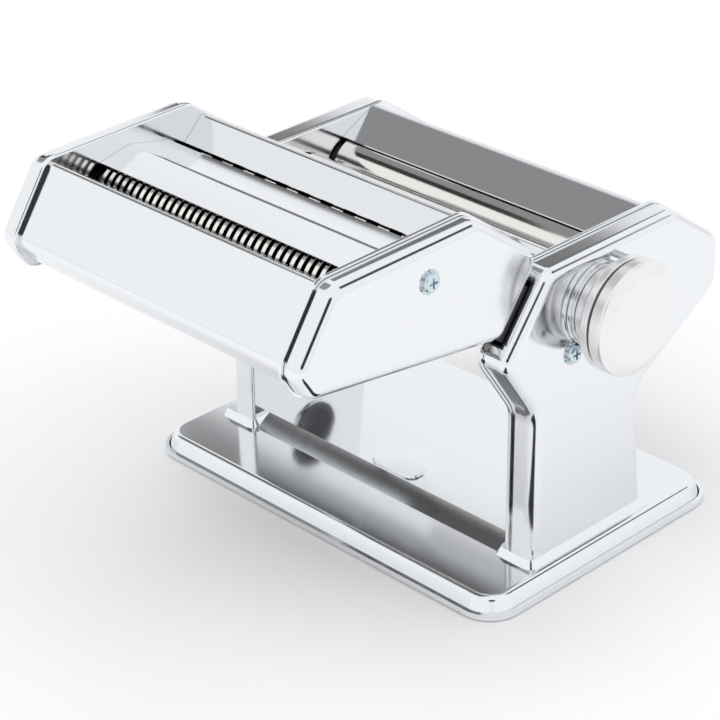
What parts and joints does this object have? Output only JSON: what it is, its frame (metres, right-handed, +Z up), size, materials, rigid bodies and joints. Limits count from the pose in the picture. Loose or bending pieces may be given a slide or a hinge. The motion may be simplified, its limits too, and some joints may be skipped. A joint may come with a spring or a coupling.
{
  "type": "pasta roller machine",
  "caption": "Hand-cranked sheet roller with a stepped gap regulator knob and a lift-off double cutter head, on a pressed metal base.",
  "frame": {"origin": "on the table under the feet, midway between the side casings and under the front roller's axis", "axes": "+X along the rollers towards the regulator knob, +Y to the back, +Z up"},
  "size_m": [0.2246, 0.2397, 0.1752],
  "materials": {
    "casing_chrome": "mirror-polished chromed sheet steel",
    "guide_chrome": "satin-bright chromed sheet steel",
    "base_chrome": "mirror-polished chromed pressed steel",
    "roller_nickel": "polished nickel-plated steel rollers",
    "shaft_steel": "turned bright steel",
    "gear_steel": "machined steel gears",
    "zinc": "bright zinc-plated screws and collars",
    "knob_satin": "satin-polished turned metal",
    "bearing_nylon": "dark moulded nylon bearings and scrapers",
    "foot_rubber": "matt black rubber"
  },
  "bodies": {
    "frame": {"base_tray": "base_chrome", "base_feet": "foot_rubber", "foot_plates": "zinc", "base_screws": "zinc", "side_casing_right": "casing_chrome", "side_casing_left": "casing_chrome", "frame_plate_right": "casing_chrome", "frame_plate_left": "casing_chrome", "tie_rods": "shaft_steel", "clamp_sleeve": "zinc", "mounting_channels": "gear_steel", "rear_guide": "guide_chrome", "front_guide": "guide_chrome", "rear_scraper": "bearing_nylon", "rear_bushes": "bearing_nylon", "drive_collar": "zinc", "regulator_collar": "zinc", "index_pin": "shaft_steel", "index_screw": "zinc"},
    "rear_roller_set": {"rear_roller": "roller_nickel", "rear_journals": "shaft_steel", "rear_gear": "gear_steel"},
    "roller_carriage": {"bearing_block_right": "bearing_nylon", "bearing_block_left": "bearing_nylon", "front_scraper": "bearing_nylon"},
    "front_roller_set": {"front_roller": "roller_nickel", "front_journals": "shaft_steel", "front_gear": "gear_steel"},
    "drive": {"drive_shaft": "shaft_steel", "drive_pinion": "gear_steel"},
    "regulator": {"regulator_shaft": "shaft_steel"},
    "knob_body": {"knob": "knob_satin"},
    "cutter_head": {"head_cap_right": "casing_chrome", "head_cap_left": "casing_chrome", "head_plate_right": "casing_chrome", "head_plate_left": "casing_chrome", "head_tongues": "zinc", "head_cover": "casing_chrome", "head_middle_guide": "guide_chrome", "head_rear_guide": "guide_chrome", "head_tie_rods": "shaft_steel", "cap_screws": "zinc", "fine_combs": "bearing_nylon", "wide_combs": "bearing_nylon", "head_collars": "zinc"},
    "fine_front": {"fine_front_cutter": "roller_nickel", "fine_front_shaft": "shaft_steel", "fine_front_gear": "gear_steel"},
    "fine_rear": {"fine_rear_cutter": "roller_nickel", "fine_rear_shaft": "shaft_steel", "fine_rear_gear": "gear_steel"},
    "wide_front": {"wide_front_cutter": "roller_nickel", "wide_front_shaft": "shaft_steel", "wide_front_gear": "gear_steel"},
    "wide_rear": {"wide_rear_cutter": "roller_nickel", "wide_rear_shaft": "shaft_steel", "wide_rear_gear": "gear_steel"}
  },
  "joints": [
    {"name": "rear_roller_spin", "type": "hinge", "parent": "frame", "child": "rear_roller_set", "pos_m": [0, 0.0286, 0.1175], "axis": [1, 0, 0], "continuous": true},
    {"name": "regulator_turn", "type": "hinge", "parent": "frame", "child": "regulator", "pos_m": [0.098, 0, 0.1175], "axis": [1, 0, 0], "range_deg": [0, 180]},
    {"name": "gap_slide", "type": "slide", "parent": "frame", "child": "roller_carriage", "axis": [0, -1, 0], "range_m": [0, 0.0032]},
    {"name": "front_roller_spin", "type": "hinge", "parent": "roller_carriage", "child": "front_roller_set", "pos_m": [0, 0, 0.1175], "axis": [1, 0, 0], "continuous": true},
    {"name": "crank_drive_spin", "type": "hinge", "parent": "frame", "child": "drive", "pos_m": [-0.086, 0.0286, 0.0922], "axis": [1, 0, 0], "continuous": true},
    {"name": "knob_pull", "type": "slide", "parent": "regulator", "child": "knob_body", "axis": [1, 0, 0], "range_m": [0, 0.005], "stiffness_N_per_m": 400, "springref_m": -0.003},
    {"name": "cutter_head_lift", "type": "slide", "parent": "frame", "child": "cutter_head", "axis": [0, -0.8, 0.6], "range_m": [0, 0.06]},
    {"name": "fine_front_cutter_spin", "type": "hinge", "parent": "cutter_head", "child": "fine_front", "pos_m": [0, -0.1285, 0.1515], "axis": [1, 0, 0], "continuous": true},
    {"name": "fine_rear_cutter_spin", "type": "hinge", "parent": "cutter_head", "child": "fine_rear", "pos_m": [0, -0.106, 0.1515], "axis": [1, 0, 0], "continuous": true},
    {"name": "wide_front_cutter_spin", "type": "hinge", "parent": "cutter_head", "child": "wide_front", "pos_m": [0, -0.0802, 0.147], "axis": [1, 0, 0], "continuous": true},
    {"name": "wide_rear_cutter_spin", "type": "hinge", "parent": "cutter_head", "child": "wide_rear", "pos_m": [0, -0.0577, 0.147], "axis": [1, 0, 0], "continuous": true}
  ],
  "couplings": [
    {"joint": "front_roller_spin", "follows": "rear_roller_spin", "ratio": -1},
    {"joint": "crank_drive_spin", "follows": "rear_roller_spin", "ratio": -1.3},
    {"joint": "regulator_turn", "follows": "gap_slide", "rad_per_m": 981.75},
    {"joint": "fine_rear_cutter_spin", "follows": "fine_front_cutter_spin", "ratio": -1},
    {"joint": "wide_front_cutter_spin", "follows": "wide_rear_cutter_spin", "ratio": -1}
  ]
}
